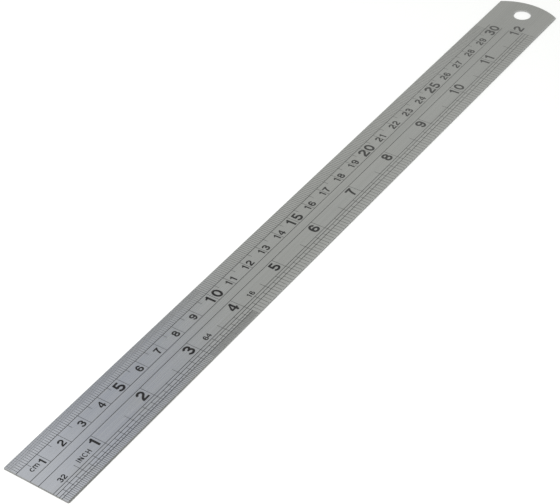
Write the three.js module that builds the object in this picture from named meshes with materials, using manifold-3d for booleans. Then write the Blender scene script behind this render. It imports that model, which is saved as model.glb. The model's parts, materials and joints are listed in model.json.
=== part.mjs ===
// Steel ruler, 30 cm and 12 in: one flat strip of stainless steel, square at its datum end and rounded at
// the end that hangs up. The scales are etched into its upper face, and the etched lines are filled with
// black enamel: one connected network of enamel for the metric scale and one for the inch scale.
//
// Millimetres. +X runs from the datum end to the rounded end, +Y points to the metric edge, and +Z out of
// the marked face. The origin is under the middle of the strip, on its underside.
import * as THREE from "three";
import { mergeVertices } from "three/addons/utils/BufferGeometryUtils.js";
import Module from "manifold-3d";

const wasm = await Module();
wasm.setup();

// The strip
const LENGTH = 327; // from the datum end to the tip of the rounded end
const WIDTH = 26.2;
const THICKNESS = 0.7;
const TIP_RADIUS = 24; // the rounded end is an arc that meets both long edges at a corner
const HOLE_RADIUS = 3.85;
const HOLE_FROM_TIP = 9.3; // from the tip to the hole's centre
const ARC_STEPS = 24;
const HOLE_STEPS = 48;

// The etching
const ETCH_DEPTH = 0.08;
const ENAMEL_BELOW_FACE = 0.01; // the enamel is wiped off just under the steel's face
const STROKE = 0.16; // width of every etched line
const CUT_ABOVE = 1; // how far a cutter stands out of the face that it cuts

// The metric scale, along the +Y edge. Heights are measured from the inch edge.
const CENTIMETRE = 10;
const CENTIMETRES = 30;
const METRIC_BAND_LINE = 21.1; // inner border of the millimetre band
const METRIC_ROW_LINE = 15.25; // under the row of centimetre numbers
const HALF_CENTIMETRE_MARK_END = METRIC_BAND_LINE - 1.9;
const METRIC_LINES_LENGTH = 304;

// The inch scale, along the -Y edge
const INCH = 25.4;
const INCHES = 12;
const INCH_ROW_LINE = 11.9; // over the row of inch numbers
const QUARTER_LINE = 5.9;
const EIGHTH_LINE = 4.75;
const SIXTEENTH_LINE = 3.35;
const FINE_LINE = 2.35; // inner border of the 32nds and 64ths
const FINE_INCHES = 4; // the part of the scale that has them
const HALF_INCH_MARK_END = QUARTER_LINE + 2.4;

// Materials
const steel = new THREE.MeshStandardMaterial({ color: 0xa9abab, roughness: 0.38, metalness: 1 });
const enamel = new THREE.MeshStandardMaterial({ color: 0x131416, roughness: 0.45, metalness: 0 });

function solidOf(geometry) {
  geometry.deleteAttribute("normal");
  geometry.deleteAttribute("uv");
  const merged = mergeVertices(geometry);
  return new wasm.Manifold(
    new wasm.Mesh({
      numProp: 3,
      vertProperties: merged.attributes.position.array,
      triVerts: new Uint32Array(merged.index.array),
    }),
  );
}

function meshOf(name, solid, material) {
  const { vertProperties, triVerts } = solid.getMesh();
  const geometry = new THREE.BufferGeometry();
  geometry.setAttribute("position", new THREE.BufferAttribute(vertProperties, 3));
  geometry.setIndex(new THREE.BufferAttribute(triVerts, 1));
  geometry.computeVertexNormals();
  const mesh = new THREE.Mesh(geometry, material);
  mesh.name = name;
  return mesh;
}

// A line along the face, and a mark across it, as rectangles. Lines are placed by their middle.
const line = (length, across) => [0, length, across - STROKE / 2, across + STROKE / 2];
const mark = (along, from, to) => [along - STROKE / 2, along + STROKE / 2, from, to];

const sortedOnce = (values) => [...new Set(values)].sort((a, b) => a - b);

// A slab over everything that the rectangles cover, as one closed solid. Their sides cut the face into a
// grid, and each cell that a rectangle covers gets a top, a bottom, and a wall where its neighbour is bare.
function slab(rectangles, [bottom, top]) {
  const xs = sortedOnce(rectangles.flatMap(([x0, x1]) => [x0, x1]));
  const ys = sortedOnce(rectangles.flatMap(([, , y0, y1]) => [y0, y1]));
  const isCovered = (i, j) =>
    rectangles.some(([x0, x1, y0, y1]) => x0 <= xs[i] && xs[i + 1] <= x1 && y0 <= ys[j] && ys[j + 1] <= y1);

  const positions = ys.flatMap((y) =>
    xs.flatMap((x) => [bottom, top].flatMap((z) => [x - LENGTH / 2, y - WIDTH / 2, z])),
  );
  const corner = (i, j, level) => 2 * (j * xs.length + i) + level;
  const triangles = [];
  const quad = (a, b, c, d) => triangles.push(a, b, c, a, c, d);
  for (let j = 0; j < ys.length - 1; j++) {
    for (let i = 0; i < xs.length - 1; i++) {
      if (!isCovered(i, j)) continue;
      const ring = [[i, j], [i + 1, j], [i + 1, j + 1], [i, j + 1]];
      const neighbours = [[i, j - 1], [i + 1, j], [i, j + 1], [i - 1, j]];
      quad(...ring.map(([u, v]) => corner(u, v, 1)));
      quad(...ring.toReversed().map(([u, v]) => corner(u, v, 0)));
      neighbours.forEach((neighbour, side) => {
        if (isCovered(...neighbour)) return;
        const [from, to] = [ring[side], ring[(side + 1) % 4]];
        quad(corner(...from, 0), corner(...to, 0), corner(...to, 1), corner(...from, 1));
      });
    }
  }
  const geometry = new THREE.BufferGeometry();
  geometry.setAttribute("position", new THREE.Float32BufferAttribute(positions, 3));
  geometry.setIndex(triangles);
  return solidOf(geometry);
}

function metricLinesAndMarks() {
  const lines = [METRIC_BAND_LINE, METRIC_ROW_LINE].map((across) => line(METRIC_LINES_LENGTH, across));
  const marks = [];
  for (let half = 1; half <= 2 * CENTIMETRES; half++) {
    const end = half % 2 === 0 ? METRIC_ROW_LINE + STROKE / 2 : HALF_CENTIMETRE_MARK_END;
    marks.push(mark((half * CENTIMETRE) / 2, end, WIDTH));
  }
  return [...lines, ...marks];
}

function inchLinesAndMarks() {
  const full = INCHES * INCH;
  const lines = [QUARTER_LINE, EIGHTH_LINE, SIXTEENTH_LINE].map((across) => line(full, across));
  lines.push(line(METRIC_LINES_LENGTH, INCH_ROW_LINE), line(FINE_INCHES * INCH, FINE_LINE));
  const marks = [];
  for (let half = 1; half <= 2 * INCHES; half++) {
    const end = half % 2 === 0 ? INCH_ROW_LINE - STROKE / 2 : HALF_INCH_MARK_END;
    marks.push(mark((half * INCH) / 2, 0, end));
  }
  return [...lines, ...marks];
}

// The strip before it is etched: straight sides, a shallow arc at the rounded end, and the hanging hole.
function plainStrip() {
  const arcCentre = LENGTH / 2 - TIP_RADIUS;
  const cornerAngle = Math.asin(WIDTH / 2 / TIP_RADIUS);
  const outline = new THREE.Shape();
  outline.moveTo(-LENGTH / 2, WIDTH / 2);
  outline.lineTo(-LENGTH / 2, -WIDTH / 2);
  outline.absarc(arcCentre, 0, TIP_RADIUS, -cornerAngle, cornerAngle, false);
  outline.closePath();
  const sides = { depth: THICKNESS, bevelEnabled: false, curveSegments: ARC_STEPS };
  const strip = solidOf(new THREE.ExtrudeGeometry(outline, sides));

  const drill = new THREE.CylinderGeometry(HOLE_RADIUS, HOLE_RADIUS, THICKNESS + 2 * CUT_ABOVE, HOLE_STEPS);
  drill.rotateX(Math.PI / 2);
  drill.translate(LENGTH / 2 - HOLE_FROM_TIP, 0, THICKNESS / 2);
  return strip.subtract(solidOf(drill));
}

const floor = THICKNESS - ETCH_DEPTH;
const cut = [floor, THICKNESS + CUT_ABOVE];
const filled = [floor, THICKNESS - ENAMEL_BELOW_FACE];

const metric = metricLinesAndMarks();
const inch = inchLinesAndMarks();
const ruler = new THREE.Group();
ruler.add(
  meshOf("blade", plainStrip().subtract(slab(metric, cut)).subtract(slab(inch, cut)), steel),
  meshOf("metric_scale_enamel", slab(metric, filled), enamel),
  meshOf("inch_scale_enamel", slab(inch, filled), enamel),
);

export default ruler;
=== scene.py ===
"""The looks of a steel ruler: a brushed stainless strip whose scales and numerals are etched into its upper
face and filled with black enamel.

Everything is drawn flat first, in millimetres, as polygons on the marked face: x runs from the datum end, y
from the inch edge and z from the underside. One triangulation of the strip's outline together with all the
marks then gives the steel with its etched recesses, and the enamel that fills them.
"""
import json
import math

import bpy
from mathutils import Matrix, Vector
from mathutils.geometry import delaunay_2d_cdt


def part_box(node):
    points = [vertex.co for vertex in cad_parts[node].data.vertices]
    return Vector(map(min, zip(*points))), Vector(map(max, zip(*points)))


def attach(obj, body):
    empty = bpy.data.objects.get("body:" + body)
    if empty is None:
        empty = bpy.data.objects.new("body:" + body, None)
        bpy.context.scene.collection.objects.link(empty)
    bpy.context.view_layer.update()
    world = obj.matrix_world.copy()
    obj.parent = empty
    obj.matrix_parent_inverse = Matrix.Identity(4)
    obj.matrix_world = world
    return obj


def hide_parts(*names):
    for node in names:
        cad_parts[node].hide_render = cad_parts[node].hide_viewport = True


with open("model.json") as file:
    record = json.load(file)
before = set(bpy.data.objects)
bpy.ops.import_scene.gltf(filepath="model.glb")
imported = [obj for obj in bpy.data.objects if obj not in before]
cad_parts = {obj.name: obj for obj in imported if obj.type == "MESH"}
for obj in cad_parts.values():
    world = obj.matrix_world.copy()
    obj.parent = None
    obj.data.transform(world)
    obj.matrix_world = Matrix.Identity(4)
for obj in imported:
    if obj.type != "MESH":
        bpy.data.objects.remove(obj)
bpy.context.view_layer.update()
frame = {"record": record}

# ---------------------------------------------------------------- sizes, in millimetres
MM = 0.001
BLADE_LOW, BLADE_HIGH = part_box("blade")
LENGTH, WIDTH, THICKNESS = ((BLADE_HIGH - BLADE_LOW) / MM).to_tuple()
MIDDLE = WIDTH / 2

TIP_RADIUS = 24  # the rounded end's arc
TIP_CORNER = 0.5  # radius of the two corners where that arc meets the long edges
DATUM_CORNER = 0.2
HOLE_RADIUS = 3.85
EDGE_ROUND = 0.07  # the stamped edges are deburred to this radius
EDGE_RINGS = 3

ETCH_DEPTH = 0.06
ENAMEL_SINK = 0.012  # the enamel is wiped off this far under the steel

INCH = 25.4
INCHES = 12
CENTIMETRES = 30
LINES_END = 304  # the lines beside the number rows stop just after 30 cm
METRIC_BAND_LINE = 21.1
METRIC_ROW_LINE = 15.25
INCH_ROW_LINE = 11.9
QUARTER_LINE = 5.9
EIGHTH_LINE = 4.75
SIXTEENTH_LINE = 3.35
FINE_LINE = 2.35
HALF_MILLIMETRE_END = 23.4  # how far in the half-millimetre marks reach
HALF_CENTIMETRE_END = METRIC_BAND_LINE - 1.9
HALF_INCH_END = QUARTER_LINE + 2.4
HALF_MILLIMETRES_UNTIL = 10 * 10
THIRTY_SECONDS_UNTIL = 4  # inches
SIXTY_FOURTHS_FROM = 3

LINE_WIDTH = 0.22
LONG_MARK_WIDTH = 0.16
MARK_WIDTH = 0.14
FINEST_MARK_WIDTH = 0.1
OVERHANG = 0.5  # marks are drawn past the edge and trimmed by the outline

ARC_STEP = math.radians(9)  # on the curves of the numerals


# ---------------------------------------------------------------- flat drawing: rectangles and strokes
def rectangle(x0, x1, y0, y1):
    return [(x0, y0), (x1, y0), (x1, y1), (x0, y1)]


def arc(centre, radii, start, end, step=ARC_STEP):
    """Points along an elliptical arc, between two angles in degrees."""
    start, end = math.radians(start), math.radians(end)
    steps = max(2, math.ceil(abs(end - start) / step))
    angles = (start + (end - start) * i / steps for i in range(steps + 1))
    return [(centre[0] + radii[0] * math.cos(a), centre[1] + radii[1] * math.sin(a)) for a in angles]


def bezier(a, b, c, d, steps=8):
    points = []
    for i in range(steps + 1):
        t = i / steps
        weights = ((1 - t) ** 3, 3 * t * (1 - t) ** 2, 3 * t * t * (1 - t), t**3)
        points.append(tuple(sum(w * p[k] for w, p in zip(weights, (a, b, c, d))) for k in (0, 1)))
    return points


def stroke(path, weight):
    """The outline of a pen of that width drawn along a path, with square ends."""
    sides = ([], [])
    for i, point in enumerate(path):
        before, after = Vector(path[max(i - 1, 0)]), Vector(path[min(i + 1, len(path) - 1)])
        here = Vector(point)
        into, out = here - before, after - here
        into = (into if into.length else out).normalized()
        out = (out if out.length else into).normalized()
        normal = (into + out).normalized().orthogonal()
        reach = weight / 2 / max(0.4, normal.dot(out.orthogonal()))
        sides[0].append(tuple(here + normal * reach))
        sides[1].append(tuple(here - normal * reach))
    return sides[0] + sides[1][::-1]


def ring(centre, radii, weight):
    """A closed round stroke, as two halves that meet."""
    return [stroke(arc(centre, radii, a, a + 180), weight) for a in (90, 270)]


# ---------------------------------------------------------------- numerals, one unit high
# Each draws its polygons for a stroke of the given weight w.
DIGIT_WIDTH = 0.73
CENTRE = DIGIT_WIDTH / 2
OVERSHOOT = 0.02  # round strokes stand out this far past square ones, so that they look the same size


def zero(w):
    return ring((CENTRE, 0.5), (CENTRE + OVERSHOOT - w / 2, 0.5 + OVERSHOOT - w / 2), w)


def one(w):
    left = CENTRE + 0.04 - w / 2
    flag_end, flag_low = 0.1, 0.7
    flag_high = flag_low + 0.7 * w
    rise = bezier((flag_end, flag_high), (0.24, flag_high), (left - 0.01, 0.88), (left + 0.02, 1), 6)
    flag = [(left, flag_low), (flag_end, flag_low)] + rise + [(left + w / 2, 1), (left + w / 2, flag_low)]
    return [rectangle(left, left + w, 0, 1), flag]


def two(w):
    top = (CENTRE, 0.69)
    radii = (CENTRE - w / 2, 0.31 + OVERSHOOT - w / 2)
    bowl = arc(top, radii, 172, -28)
    sweep = bezier(bowl[-1], (0.5, 0.42), (0.1, 0.36), (w / 2, 0.04))
    return [stroke(bowl + sweep[1:], w), rectangle(0, DIGIT_WIDTH, 0, 0.88 * w)]


def lobes(waist, w):
    """How high the middles lie of two round strokes that meet at the waist."""
    return (1 + OVERSHOOT - w / 2 + waist) / 2, (waist + w / 2 - OVERSHOOT) / 2


def three(w):
    waist, reach = 0.525, CENTRE + OVERSHOOT - w / 2
    upper, lower = lobes(waist, w)
    top = arc((CENTRE, upper), (reach - 0.02, upper - waist), 168, -90)
    bottom = arc((CENTRE, lower), (reach, waist - lower), 90, -168)
    bar = rectangle(CENTRE - 0.1, CENTRE, waist - 0.4 * w, waist + 0.4 * w)
    return [stroke(top, w), stroke(bottom, w), bar]


def four(w):
    stem, bar = 0.41, 0.22
    thick = 0.85 * w
    upright = rectangle(stem, stem + w, 0, 1)
    crossbar = rectangle(0, DIGIT_WIDTH + 0.02, bar, bar + thick)
    slope = [(0, bar), (0, bar + thick + 0.05), (stem + 0.02, 1), (stem + w / 2, 1), (stem + w / 2, 0.8)]
    slope += [(stem + 0.02, 0.8), (0.9 * w, bar + thick), (0.9 * w, bar)]
    return [upright, crossbar, slope]


def five(w):
    thick = 0.88 * w
    middle = 0.325 - OVERSHOOT / 2
    radii = (CENTRE + 0.01 + OVERSHOOT - w / 2, middle + OVERSHOOT - w / 2)
    bowl = arc((CENTRE - 0.01, middle), radii, 143, -166)
    back = [(0.1, 1), (0.04, 0.44), (0.03 + w, 0.44), (0.1 + 0.85 * w, 1)]
    return [rectangle(0.1, 0.64, 1 - thick, 1), stroke(bowl, w), back]


def six(w):
    reach, middle = CENTRE + OVERSHOOT - w / 2, 0.32 - OVERSHOOT / 2
    bowl = ring((CENTRE, middle), (reach, middle + OVERSHOOT - w / 2), w)
    spine = arc((CENTRE + 0.01, 0.5), (reach + 0.01, 0.5 + OVERSHOOT - w / 2), 212, 30)
    return bowl + [stroke(spine, w)]


def nine(w):
    return [[(DIGIT_WIDTH - x, 1 - y) for x, y in polygon] for polygon in six(w)]


def seven(w):
    thick = 0.88 * w
    leg = bezier((DIGIT_WIDTH - w / 2, 1 - thick / 2), (0.4, 0.7), (0.27, 0.35), (0.26, 0))
    return [rectangle(0, DIGIT_WIDTH, 1 - thick, 1), stroke(leg, w)]


def eight(w):
    waist, reach = 0.53, CENTRE + OVERSHOOT - w / 2
    upper, lower = lobes(waist, w)
    top = ring((CENTRE, upper), (reach - 0.03, upper - waist), w)
    return top + ring((CENTRE, lower), (reach, waist - lower), w)


DIGITS = dict(zip("0123456789", (zero, one, two, three, four, five, six, seven, eight, nine)))


# ---------------------------------------------------------------- unit letters, one unit high
# Each draws its polygons for a stroke of the given weight w, and says how wide it is.
def letter_c(w):
    return [stroke(arc((0.44, 0.5), (0.44 - w / 2, 0.5 - w / 2), 42, 318), w)], 0.82


def letter_m(w):
    reach = 0.26
    polygons = [rectangle(0, w, 0, 1)]
    for start in (w / 2, w / 2 + 2 * reach):
        hump = arc((start + reach, 0.64), (reach, 0.36 - w / 2), 170, 0)
        polygons.append(stroke(hump + [(start + 2 * reach, 0)], w))
    return polygons, 4 * reach + w


def letter_i(w):
    return [rectangle(0, w, 0, 1)], w


def letter_n(w):
    wide = 0.72
    slope = [(0, 1), (0, 1 - 1.3 * w), (wide - w, 0), (wide, 0), (wide, 1.3 * w), (w, 1)]
    return [rectangle(0, w, 0, 1), rectangle(wide - w, wide, 0, 1), slope], wide


def letter_big_c(w):
    return [stroke(arc((0.4, 0.5), (0.4 - w / 2, 0.5 - w / 2), 38, 322), w)], 0.76


def letter_h(w):
    wide = 0.7
    bar = rectangle(0, wide, 0.53 - w / 2, 0.53 + w / 2)
    return [rectangle(0, w, 0, 1), rectangle(wide - w, wide, 0, 1), bar], wide


def moved(polygons, x, y, height):
    return [[(x + height * u, y + height * v) for u, v in polygon] for polygon in polygons]


# ---------------------------------------------------------------- the marks, by group
def bar_mark(x, y0, y1, width):
    return rectangle(x - width / 2, x + width / 2, min(y0, y1), max(y0, y1))


def long_line(y, end):
    return rectangle(-OVERHANG, end, y - LINE_WIDTH / 2, y + LINE_WIDTH / 2)


def metric_graduations():
    outside = WIDTH + OVERHANG
    polygons = [long_line(METRIC_BAND_LINE, LINES_END), long_line(METRIC_ROW_LINE, LINES_END)]
    for millimetre in range(1, 10 * CENTIMETRES + 1):
        if millimetre % 10 == 0:
            end, width = METRIC_ROW_LINE, LONG_MARK_WIDTH
        elif millimetre % 5 == 0:
            end, width = HALF_CENTIMETRE_END, LONG_MARK_WIDTH
        else:
            end, width = METRIC_BAND_LINE, MARK_WIDTH
        polygons.append(bar_mark(millimetre, end, outside, width))
    for millimetre in range(HALF_MILLIMETRES_UNTIL):
        polygons.append(bar_mark(millimetre + 0.5, HALF_MILLIMETRE_END, outside, FINEST_MARK_WIDTH))
    return polygons


def inch_graduations():
    full, fine = INCHES * INCH, THIRTY_SECONDS_UNTIL * INCH
    polygons = [long_line(INCH_ROW_LINE, LINES_END), long_line(FINE_LINE, fine)]
    polygons += [long_line(y, full) for y in (QUARTER_LINE, EIGHTH_LINE, SIXTEENTH_LINE)]
    # Each division in 64ths of an inch, with where its mark ends, its width, and the inches that have it.
    divisions = [
        (64, INCH_ROW_LINE, LONG_MARK_WIDTH, 0, INCHES),
        (32, HALF_INCH_END, LONG_MARK_WIDTH, 0, INCHES),
        (16, QUARTER_LINE, LONG_MARK_WIDTH, 0, INCHES),
        (8, EIGHTH_LINE, LONG_MARK_WIDTH, 0, INCHES),
        (4, SIXTEENTH_LINE, MARK_WIDTH, 0, INCHES),
        (2, FINE_LINE, MARK_WIDTH, 0, THIRTY_SECONDS_UNTIL),
        (1, FINE_LINE, FINEST_MARK_WIDTH, SIXTY_FOURTHS_FROM, THIRTY_SECONDS_UNTIL),
    ]
    for sixty_fourth in range(1, 64 * INCHES + 1):
        for step, end, width, first, last in divisions:
            if sixty_fourth % step == 0:
                if 64 * first <= sixty_fourth <= 64 * last:
                    polygons.append(bar_mark(sixty_fourth * INCH / 64, end, -OVERHANG, width))
                break
    return polygons


BOLD = 0.21  # stroke weight of the numerals, as a share of their height
ADVANCE = 0.93  # from one digit to the next, as a share of their height
LARGE, SMALL = 4.3, 3.0  # heights: every fifth centimetre and every inch, and the other centimetres
LARGE_BASELINE, SMALL_BASELINE = 15.84, 16.18  # in the metric row
INCH_BASELINE = 6.9
BEFORE_MARK = 0.88  # from the right side of a single digit to its mark
PAST_CENTIMETRE, PAST_INCH = 0.35, 0.4  # how far past its mark the middle of a two-digit number lies


def number(value, mark, height, baseline, past):
    """One digit stands just before its mark; two digits stand astride it, a little past it."""
    digits = [DIGITS[d](BOLD) for d in str(value)]
    if len(digits) == 1:
        right = min(DIGIT_WIDTH, max(x for polygon in digits[0] for x, y in polygon))
        return moved(digits[0], mark - BEFORE_MARK - right * height, baseline, height)
    left = mark + past - height * (ADVANCE + DIGIT_WIDTH) / 2
    second = moved(digits[1], left + ADVANCE * height, baseline, height)
    return moved(digits[0], left, baseline, height) + second


def metric_numerals():
    polygons = []
    for value in range(1, CENTIMETRES + 1):
        height, baseline = (LARGE, LARGE_BASELINE) if value % 5 == 0 else (SMALL, SMALL_BASELINE)
        polygons += number(value, 10 * value, height, baseline, PAST_CENTIMETRE)
    return polygons


def inch_numerals():
    polygons = []
    for value in range(1, INCHES + 1):
        polygons += number(value, INCH * value, LARGE, INCH_BASELINE, PAST_INCH)
    return polygons


def lettering(letters, x, y, height, weight, gap):
    """Letters set from x on; the stroke weight and the gap between them are shares of the height."""
    polygons = []
    for letter in letters:
        shapes, width = letter(weight)
        polygons += moved(shapes, x, y, height)
        x += height * (width + gap)
    return polygons


def digit_letter(digit):
    return lambda weight: (DIGITS[digit](weight), DIGIT_WIDTH)


def unit_lettering():
    """The units, and beside each stretch of the inch scale the number of parts that its inches have."""
    inch = [letter_i, letter_n, letter_big_c, letter_h]
    polygons = lettering([letter_c, letter_m], x=3.45, y=17.2, height=1.7, weight=0.21, gap=0.12)
    polygons += lettering(inch, x=14.5, y=7.15, height=2.0, weight=0.16, gap=0.22)
    for digits, x in (("32", 4.9), ("64", 80.9), ("16", 106.5)):
        parts = [digit_letter(d) for d in digits]
        polygons += lettering(parts, x, y=6.76, height=2.1, weight=0.2, gap=0.08)
    return polygons


MARK_GROUPS = {
    "metric_graduations": metric_graduations(),
    "inch_graduations": inch_graduations(),
    "metric_numerals": metric_numerals(),
    "inch_numerals": inch_numerals(),
    "unit_lettering": unit_lettering(),
}

# ---------------------------------------------------------------- solids: the outline and its rounded edges
HOLE_STEP = math.radians(5)  # of arc between two points of the hole's outline
TIP_STEP = math.radians(1.6)
FLAT_RING = 1.7 * EDGE_ROUND  # one more ring, on the flat, keeps the edge's shading off the face
OPENING_LOW, OPENING_HIGH = map(Vector, frame["record"]["physics"]["openings"][0]["box_m"])
HOLE = tuple(((OPENING_LOW + OPENING_HIGH) / 2 - BLADE_LOW).to_2d() / MM)
TIP_CENTRE = (LENGTH - TIP_RADIUS, MIDDLE)
# Each corner of the tip is an arc that runs into the tip's own arc at this angle.
TIP_CORNER_X = TIP_CENTRE[0] + math.sqrt((TIP_RADIUS - TIP_CORNER) ** 2 - (MIDDLE - TIP_CORNER) ** 2)
TIP_TURN = math.degrees(math.atan2(MIDDLE - TIP_CORNER, TIP_CORNER_X - TIP_CENTRE[0]))


def edge_profile():
    """The rounded edge as pairs: how far in from the side face, and how far below the flat face."""
    turns = (math.pi / 2 * i / EDGE_RINGS for i in range(EDGE_RINGS + 1))
    pairs = [(EDGE_ROUND * (1 - math.cos(a)), EDGE_ROUND * (1 - math.sin(a))) for a in turns]
    return pairs + [(FLAT_RING, 0)]


EDGE_PROFILE = edge_profile()


def outline(inset):
    """The outline, anticlockwise and moved in by that much: square at the datum end, round at the tip."""
    datum, corner, tip = DATUM_CORNER - inset, TIP_CORNER - inset, TIP_RADIUS - inset
    points = arc((DATUM_CORNER, DATUM_CORNER), (datum, datum), 180, 270)
    points += arc((TIP_CORNER_X, TIP_CORNER), (corner, corner), -90, -TIP_TURN)
    points += arc(TIP_CENTRE, (tip, tip), -TIP_TURN, TIP_TURN, TIP_STEP)[1:-1]
    points += arc((TIP_CORNER_X, WIDTH - TIP_CORNER), (corner, corner), TIP_TURN, 90)
    return points + arc((DATUM_CORNER, WIDTH - DATUM_CORNER), (datum, datum), 90, 180)


def hole_outline(inset):
    radius = HOLE_RADIUS + inset
    return arc(HOLE, (radius, radius), 0, 360, HOLE_STEP)[:-1]


def from_edge(x, y):
    """How far a point of the strip lies from its nearest edge, the hole's included."""
    hole = math.dist((x, y), HOLE) - HOLE_RADIUS
    y = min(y, WIDTH - y)
    if x < DATUM_CORNER and y < DATUM_CORNER:
        return DATUM_CORNER - math.dist((x, y), (DATUM_CORNER, DATUM_CORNER))
    if x > TIP_CORNER_X and math.degrees(math.atan2(TIP_CORNER - y, x - TIP_CORNER_X)) > TIP_TURN:
        return TIP_CORNER - math.dist((x, y), (TIP_CORNER_X, TIP_CORNER))
    tip = TIP_RADIUS - math.dist((x, y), TIP_CENTRE) if x > TIP_CENTRE[0] else TIP_RADIUS
    return min(x, y, tip, hole)


def fall(x, y):
    """How far the rounded edge lies below the flat face at a point."""
    inset = max(0, from_edge(x, y))
    for (near, low), (far, high) in zip(EDGE_PROFILE, EDGE_PROFILE[1:]):
        if inset < far:
            return low + (high - low) * (inset - near) / (far - near)
    return 0


# ---------------------------------------------------------------- solids: the steel and the enamel
MERGE = 2e-4  # points closer than this become one
SHARP_ANGLE = math.radians(40)
TRIANGLES_INSIDE = 1  # of the ways that delaunay_2d_cdt can answer, the one that drops what lies outside


def anticlockwise(polygon):
    twice_area = sum(a[0] * b[1] - b[0] * a[1] for a, b in zip(polygon, polygon[1:] + polygon[:1]))
    return polygon if twice_area > 0 else polygon[::-1]


def triangulate(shapes):
    """Points and triangles that keep to every shape's edges, and the shapes that cover each triangle."""
    points, faces = [], []
    for shape in shapes:
        faces.append(list(range(len(points), len(points) + len(shape))))
        points += anticlockwise(shape)
    found = delaunay_2d_cdt([Vector(p) for p in points], [], faces, TRIANGLES_INSIDE, MERGE, True)
    return [tuple(p) for p in found[0]], found[2], [set(covers) for covers in found[5]]


def edges_of(triangle):
    return zip(triangle, triangle[1:] + triangle[:1])


class Shell:
    """A mesh in the making: faces given as lists of points, with the points they share joined."""

    def __init__(self):
        self.places, self.faces, self.finishes = {}, [], []

    def add(self, points, finish=0):
        self.faces.append([self.places.setdefault(p, len(self.places)) for p in points])
        self.finishes.append(finish)

    def build(self, name, materials):
        mesh = bpy.data.meshes.new(name)
        corners = [BLADE_LOW + Vector(p) * MM for p in self.places]
        mesh.from_pydata(corners, [], self.faces)
        for material in materials:
            mesh.materials.append(material)
        mesh.polygons.foreach_set("material_index", self.finishes)
        mesh.shade_smooth()
        mesh.set_sharp_from_angle(angle=SHARP_ANGLE)
        piece = bpy.data.objects.new(name, mesh)
        bpy.context.scene.collection.objects.link(piece)
        return piece


def loops_of(edges):
    """The closed loops that a set of directed edges makes."""
    after, loops = dict(edges), []
    while after:
        start = point = next(iter(after))
        loop = []
        while point in after:
            loop.append(point)
            point = after.pop(point)
        loops.append(loop)
    return loops


FACE, SHEARED = 0, 1  # the steel's finishes: the brushed faces, and the sheared edges all round


def steel_shell(points, triangles, group_of):
    """The strip: recesses where the marks are, a rounded edge, sheared sides, and a plain underside."""
    shell = Shell()
    falls = [fall(*p) for p in points]

    def top(i, drop):
        return (*points[i], THICKNESS - falls[i] - drop)

    def bottom(point):
        return (*point, fall(*point))

    beside = {}  # each directed edge and how deep the triangle on its left lies
    for triangle, group in zip(triangles, group_of):
        drop = 0 if group is None else ETCH_DEPTH
        rounded = any(falls[i] > MERGE for i in triangle)
        shell.add([top(i, drop) for i in triangle], SHEARED if rounded else FACE)
        beside.update((edge, drop) for edge in edges_of(triangle))
    rim = [(i, j) for i, j in beside if (j, i) not in beside]
    etched_rim = {i for edge in rim if beside[edge] for i in edge}
    for (i, j), drop in beside.items():
        if not drop and beside.get((j, i), 0):
            shell.add([top(i, ETCH_DEPTH), top(j, ETCH_DEPTH), top(j, 0), top(i, 0)])
    for i, j in rim:
        drop = beside[i, j]
        # Where a mark runs out over the edge, the corner of its floor is a corner of the walls beside it too.
        shared = [] if drop else [k for k in (j, i) if k in etched_rim]
        wall = [bottom(points[i]), bottom(points[j])]
        wall += [top(j, ETCH_DEPTH)] if j in shared else []
        wall += [top(j, drop), top(i, drop)]
        wall += [top(i, ETCH_DEPTH)] if i in shared else []
        shell.add(wall, SHEARED)
    add_underside(shell, [[points[i] for i in loop] for loop in loops_of(rim)], bottom)
    return shell


def add_underside(shell, loops, bottom):
    outer, hole = sorted(loops, key=len, reverse=True)
    insets = [inset for inset, low in EDGE_PROFILE[1:]]
    shapes = [outer, hole] + [outline(d) for d in insets] + [hole_outline(d) for d in insets]
    points, triangles, covers = triangulate(shapes)
    for triangle, cover in zip(triangles, covers):
        if 0 in cover and 1 not in cover:  # within the outline and not within the hole
            corners = [bottom(points[i]) for i in reversed(triangle)]
            rounded = any(z > MERGE for x, y, z in corners)
            shell.add(corners, SHEARED if rounded else FACE)


def enamel_shell(points, triangles):
    """What fills the recesses of one group of marks, wiped off just under the steel."""
    shell = Shell()
    falls = {i: fall(*points[i]) for triangle in triangles for i in triangle}

    def at(i, depth):
        return (*points[i], THICKNESS - falls[i] - depth)

    edges = {edge for triangle in triangles for edge in edges_of(triangle)}
    for triangle in triangles:
        shell.add([at(i, ENAMEL_SINK) for i in triangle])
        shell.add([at(i, ETCH_DEPTH) for i in reversed(triangle)])
    for i, j in edges:
        if (j, i) not in edges:
            shell.add([at(i, ETCH_DEPTH), at(j, ETCH_DEPTH), at(j, ENAMEL_SINK), at(i, ENAMEL_SINK)])
    return shell


def drawn_face():
    """The upper face's triangulation, with the name of the group of marks that covers each triangle."""
    insets = [inset for inset, low in EDGE_PROFILE]
    frame_shapes = [outline(d) for d in insets] + [hole_outline(d) for d in insets]
    owners = [None] * len(frame_shapes)
    marks = []
    for group, polygons in MARK_GROUPS.items():
        marks += polygons
        owners += [group] * len(polygons)
    points, triangles, covers = triangulate(frame_shapes + marks)
    outer, hole = 0, len(insets)  # which of the shapes are the strip's own outline and the hole's
    kept, group_of = [], []
    for triangle, cover in zip(triangles, covers):
        if outer in cover and hole not in cover:
            kept.append(tuple(triangle))
            group_of.append(next((owners[n] for n in sorted(cover) if owners[n]), None))
    return points, kept, group_of


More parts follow.
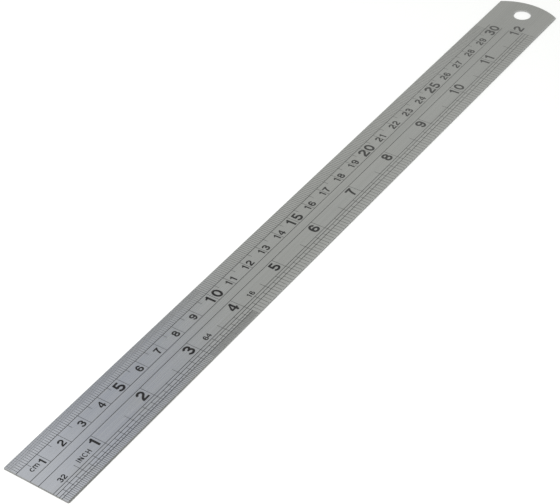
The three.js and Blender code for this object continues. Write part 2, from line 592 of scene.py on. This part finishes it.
# ---------------------------------------------------------------- materials
class Look:
    """One material, with short ways to add and join its nodes. Places are in metres, in the strip's frame."""

    def __init__(self, name):
        self.material = bpy.data.materials.new(name)
        self.material.use_nodes = True
        self.tree = self.material.node_tree
        self.surface = self.tree.nodes["Principled BSDF"]
        self.place = self.tree.nodes.new("ShaderNodeTexCoord").outputs["Object"]

    def add(self, kind, *links, **settings):
        """A node with those settings, its first inputs joined to sockets or set to values."""
        node = self.tree.nodes.new("ShaderNode" + kind)
        for name, value in settings.items():
            setattr(node, name, value)
        for socket, value in zip(node.inputs, links):
            self.put(socket, value)
        return node

    def put(self, socket, value):
        if isinstance(value, bpy.types.NodeSocket):
            self.tree.links.new(value, socket)
        elif value is not None:
            socket.default_value = value

    def noise(self, scale, detail=2.0, turn=0.0, roughness=0.5):
        """Noise with that many waves to the metre along x, y and z, turned about z by degrees."""
        turned = self.add("Mapping", self.place, None, (0, 0, math.radians(turn))).outputs[0]
        stretched = self.add("Mapping", turned, None, None, scale).outputs[0]
        node = self.add("TexNoise", stretched)
        node.inputs["Scale"].default_value = 1
        node.inputs["Detail"].default_value = detail
        node.inputs["Roughness"].default_value = roughness
        return node.outputs["Fac"]

    def fit(self, value, low, high, to_low=0.0, to_high=1.0):
        """The value carried smoothly from one range to another, and held at its ends."""
        node = self.add("MapRange", value, low, high, to_low, to_high, interpolation_type="SMOOTHSTEP")
        return node.outputs[0]

    def maths(self, operation, a, b=0.0):
        return self.add("Math", a, b, operation=operation).outputs[0]

    def total(self, *values):
        result = values[0]
        for value in values[1:]:
            result = self.maths("ADD", result, value)
        return result

    def mix(self, factor, a, b):
        node = self.tree.nodes.new("ShaderNodeMix")
        node.data_type = "RGBA"
        for name, value in (("Factor_Float", factor), ("A_Color", a), ("B_Color", b)):
            socket = next(i for i in node.inputs if i.identifier == name)
            self.put(socket, (*value, 1) if isinstance(value, tuple) else value)
        return next(o for o in node.outputs if o.identifier == "Result_Color")

    def bump(self, height, distance, before=None):
        node = self.tree.nodes.new("ShaderNodeBump")
        node.inputs["Distance"].default_value = distance
        self.put(node.inputs["Height"], height)
        self.put(node.inputs["Normal"], before)
        return node.outputs["Normal"]

    def finish(self, colour, roughness, normal, **constants):
        self.put(self.surface.inputs["Base Color"], colour)
        self.put(self.surface.inputs["Roughness"], roughness)
        self.put(self.surface.inputs["Normal"], normal)
        for name, value in constants.items():
            self.surface.inputs[name.replace("_", " ")].default_value = value
        return self.material

    def worn_edges(self):
        """One along the long edges and round the hole, where handling polishes the steel; nothing inside."""
        split = self.add("SeparateXYZ", self.place).outputs
        across = self.maths("ABSOLUTE", split["Y"])
        edge = self.fit(across, (MIDDLE - 0.7) * MM, (MIDDLE - 0.05) * MM)
        out = self.add("VectorMath", self.place, HOLE_PLACE, operation="DISTANCE").outputs["Value"]
        rim = self.fit(out, (HOLE_RADIUS + 0.1) * MM, (HOLE_RADIUS + 0.9) * MM, 1.0, 0.0)
        patchy = self.fit(self.noise((220, 220, 220), 3.0), 0.42, 0.62)
        return self.maths("MULTIPLY", self.maths("MAXIMUM", edge, rim), patchy)


HOLE_PLACE = BLADE_LOW + Vector((*HOLE, THICKNESS)) * MM


def brushed_steel():
    look = Look("brushed_stainless_steel")
    hair = look.noise((60, 9000, 9000), 2.0)
    grain = look.noise((22, 1900, 1900), 3.0)
    streak = look.noise((7, 260, 260), 3.0)
    cloud = look.noise((13, 24, 24), 3.0)
    smudge = look.fit(look.noise((38, 52, 52), detail=5.0, turn=20.0, roughness=0.62), 0.52, 0.72)
    # Each set of scratches: how far it is turned from the strip, its noise, and where in the noise it starts.
    scratch_sets = (
        (7, (24, 2600, 2600), 0.73),
        (-19, (40, 3100, 3100), 0.75),
        (64, (46, 3300, 3300), 0.77),
    )
    scratches = None
    for turn, scale, least in scratch_sets:
        scratch = look.fit(look.noise(scale, 1.0, turn), least, least + 0.05)
        scratches = look.maths("MAXIMUM", scratches, scratch) if scratches else scratch
    scratches = look.maths("MULTIPLY", scratches, look.fit(cloud, 0.45, 0.6))
    worn = look.worn_edges()
    # Painted light: the face is lighter toward its long edges, a painted sheen over the scale bands, and
    # darker toward the hanging end, painted shade.
    split = look.add("SeparateXYZ", look.place).outputs
    painted_sheen_band = look.fit(look.maths("ABSOLUTE", split["Y"]), 6.5 * MM, 9.5 * MM, 0.0, 0.45)
    painted_far_shade = look.fit(split["X"], 80 * MM, 150 * MM, 0.0, 0.5)

    tone = look.total(look.maths("MULTIPLY", grain, 0.5), look.maths("MULTIPLY", streak, 0.5))
    steel = look.mix(look.fit(tone, 0.32, 0.68), (0.570, 0.572, 0.560), (0.640, 0.640, 0.628))
    steel = look.mix(look.maths("MULTIPLY", smudge, 0.35), steel, (0.540, 0.535, 0.515))
    steel = look.mix(look.fit(cloud, 0.35, 0.65, 0.0, 0.22), steel, (0.600, 0.612, 0.622))
    # Painted sheen: the steel is made lighter over the scale bands toward the long edges.
    steel = look.mix(painted_sheen_band, steel, (0.685, 0.685, 0.675))
    # Painted shade: the steel is made darker toward the hanging end.
    steel = look.mix(painted_far_shade, steel, (0.510, 0.508, 0.495))
    steel = look.mix(look.maths("MULTIPLY", worn, 0.5), steel, (0.720, 0.720, 0.710))
    steel = look.mix(look.maths("MULTIPLY", scratches, 0.4), steel, (0.720, 0.720, 0.715))

    roughness = look.total(
        look.fit(hair, 0.3, 0.7, 0.235, 0.305),
        look.fit(grain, 0.3, 0.7, -0.03, 0.03),
        look.fit(streak, 0.3, 0.7, -0.02, 0.02),
        look.maths("MULTIPLY", smudge, 0.06),
        look.maths("MULTIPLY", worn, -0.07),
        look.maths("MULTIPLY", scratches, -0.06),
    )
    normal = look.bump(hair, 0.0022 * MM)
    normal = look.bump(grain, 0.006 * MM, normal)
    normal = look.bump(scratches, 0.004 * MM, normal)
    return look.finish(steel, roughness, normal, Metallic=1.0)


def sheared_steel():
    """The edges as the shears left them: a burnished band above, a torn and duller one below. Part of their
    dark tone is painted shade standing in for the contact shadow along the side, darkest near the datum end;
    toward the hanging end they are painted lighter, a painted reflection of the bright floor."""
    look = Look("sheared_steel_edge")
    split = look.add("SeparateXYZ", look.place).outputs
    tear = look.noise((2600, 2600, 240), 3.0)
    wander = look.fit(look.noise((300, 300, 300), 3.0), 0.3, 0.7, -0.09 * MM, 0.09 * MM)
    low = look.maths("ADD", BLADE_LOW.z + 0.3 * MM, wander)
    level = look.maths("SUBTRACT", split["Z"], low)
    burnished = look.fit(level, -0.03 * MM, 0.03 * MM)
    stain = look.fit(look.noise((60, 60, 400), 4.0), 0.4, 0.7)
    # Part of this dark tone is painted shade for the contact shadow along the side.
    torn = look.mix(tear, (0.160, 0.160, 0.158), (0.270, 0.270, 0.266))
    steel = look.mix(burnished, torn, (0.340, 0.340, 0.336))
    steel = look.mix(look.maths("MULTIPLY", stain, 0.35), steel, (0.190, 0.184, 0.174))
    # Painted shade and painted reflection: darkest near the datum end, lighter toward the hanging end as if
    # the bright floor were mirrored there.
    steel = look.mix(look.fit(split["X"], -150 * MM, -30 * MM, 0.0, 0.55), steel, (0.640, 0.640, 0.632))
    roughness = look.total(look.fit(burnished, 0.0, 1.0, 0.55, 0.36), look.fit(tear, 0.3, 0.7, -0.06, 0.06))
    normal = look.bump(tear, 0.012 * MM)
    return look.finish(steel, roughness, normal, Metallic=1.0)


def black_enamel():
    """Black and a little rubbed; it turns greyer toward the hanging end, and that grey is a painted sheen,
    not rubbing.
    """
    look = Look("black_enamel")
    grit = look.noise((3400, 3400, 3400), 3.0)
    patch = look.noise((420, 420, 420), 4.0)
    cloud = look.noise((30, 60, 60), 3.0)
    rubbed = look.maths("MULTIPLY", look.fit(grit, 0.6, 0.74), look.fit(patch, 0.5, 0.66))
    ink = look.mix(look.fit(patch, 0.3, 0.7), (0.006, 0.006, 0.007), (0.013, 0.012, 0.012))
    ink = look.mix(look.fit(cloud, 0.4, 0.7, 0.0, 0.4), ink, (0.018, 0.017, 0.016))
    along = look.add("SeparateXYZ", look.place).outputs["X"]
    # Painted sheen: grey laid over the enamel toward the hanging end.
    ink = look.mix(look.fit(along, -0.08, 0.15, 0.0, 0.62), ink, (0.115, 0.115, 0.112))
    ink = look.mix(look.maths("MULTIPLY", rubbed, 0.45), ink, (0.120, 0.120, 0.117))
    roughness = look.total(look.fit(grit, 0.3, 0.7, 0.34, 0.46), look.fit(cloud, 0.3, 0.7, -0.04, 0.05))
    normal = look.bump(patch, 0.01 * MM)
    normal = look.bump(grit, 0.003 * MM, normal)
    return look.finish(ink, roughness, normal, Specular_IOR_Level=0.3)


def pale_floor():
    look = Look("pale_floor")
    mottle = look.noise((6, 6, 6), 3.0)
    tint = look.mix(mottle, (0.86, 0.86, 0.86), (0.90, 0.90, 0.90))
    return look.finish(tint, look.fit(mottle, 0.3, 0.7, 0.75, 0.85), look.bump(mottle, 0.05 * MM))


# ---------------------------------------------------------------- the ruler
STEEL, SHEARED_STEEL, ENAMEL = brushed_steel(), sheared_steel(), black_enamel()
POINTS, TRIANGLES, GROUP_OF = drawn_face()


def add_piece(piece, node=None):
    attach(piece, "root")
    if node:
        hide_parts(node)


blade = steel_shell(POINTS, TRIANGLES, GROUP_OF).build("ruler_blade", [STEEL, SHEARED_STEEL])
add_piece(blade, "blade")
STANDS_FOR = {"metric_graduations": "metric_scale_enamel", "inch_graduations": "inch_scale_enamel"}
for group in MARK_GROUPS:
    own = [triangle for triangle, owner in zip(TRIANGLES, GROUP_OF) if owner == group]
    marks = enamel_shell(POINTS, own).build(group, [ENAMEL])
    add_piece(marks, STANDS_FOR.get(group))


# ---------------------------------------------------------------- the studio, in metres
FLOOR_REACH = 2.5
FLOOR_BELOW = 0.02 * MM  # under the ruler
KEY_PLACE, KEY_SIZE = (-0.985, 0.569, 1.263), (0.7, 0.7)
MIDDLE_OF_RULER, DATUM_END = (0, 0, 0), (-0.17, 0, 0)
WHITE = (1, 1, 1)


def look_at(thing, place, target):
    thing.location = place
    thing.rotation_euler = (Vector(target) - Vector(place)).to_track_quat("-Z", "Y").to_euler()


def softbox(name, place, target, size, power, colour, mirrored=True):
    """A rectangular light. One that isn't mirrored lights the scene, but leaves no highlight on the steel."""
    light = bpy.data.lights.new(name, "AREA")
    light.shape = "RECTANGLE"
    light.size, light.size_y = size
    light.energy = power
    light.color = colour
    lamp = bpy.data.objects.new(name, light)
    lamp.visible_camera = False
    lamp.visible_glossy = mirrored
    bpy.context.scene.collection.objects.link(lamp)
    look_at(lamp, place, target)


def make_floor():
    mesh = bpy.data.meshes.new("floor")
    square = rectangle(-FLOOR_REACH, FLOOR_REACH, -FLOOR_REACH, FLOOR_REACH)
    corners = [(x, y, BLADE_LOW.z - FLOOR_BELOW) for x, y in square]
    mesh.from_pydata(corners, [], [(0, 1, 2, 3)])
    mesh.materials.append(pale_floor())
    floor = bpy.data.objects.new("floor", mesh)
    bpy.context.scene.collection.objects.link(floor)


def make_world():
    world = bpy.data.worlds.new("studio")
    world.use_nodes = True
    background = world.node_tree.nodes["Background"]
    background.inputs["Color"].default_value = (0.985, 1.0, 0.965, 1)
    background.inputs["Strength"].default_value = 0.535
    bpy.context.scene.world = world


def make_camera():
    """Beyond the datum end, on the inch side and 40 degrees up, looking along the strip with a long lens."""
    lens = bpy.data.cameras.new("camera")
    lens.lens, lens.sensor_width, lens.clip_start = 106.6, 36.0, 0.01
    camera = bpy.data.objects.new("camera", lens)
    bpy.context.scene.collection.objects.link(camera)
    target = Vector((-31.1, -1.1, 0.7)) * MM
    back = Vector((-0.62156, -0.44913, 0.64183)).normalized()
    distance, roll = 593.1, math.radians(-2.463)
    level = Vector((0, 0, 1)).cross(back).normalized()
    right = Matrix.Rotation(roll, 3, back) @ level
    turn = Matrix((right, back.cross(right), back)).transposed()
    camera.matrix_world = Matrix.Translation(target + back * distance * MM) @ turn.to_4x4()
    bpy.context.scene.camera = camera


make_floor()
make_world()
make_camera()
# The key lights the floor and the enamel. From the same place, the sheen is all that the steel mirrors of it.
softbox("key", KEY_PLACE, MIDDLE_OF_RULER, KEY_SIZE, 25, WHITE, mirrored=False)
softbox("sheen", KEY_PLACE, MIDDLE_OF_RULER, KEY_SIZE, 4, WHITE)
# Two small lights close by brighten the datum end; the window's is blue.
softbox("end_fill", (-0.086, 0.103, 0.147), DATUM_END, (0.06, 0.06), 0.00345, WHITE)
softbox("window", (0.05, 0.211, 0.301), (-0.143, 0, 0), (0.16, 0.16), 0.0105, (0.0, 0.17, 1))
bpy.context.scene.view_settings.view_transform = "Standard"
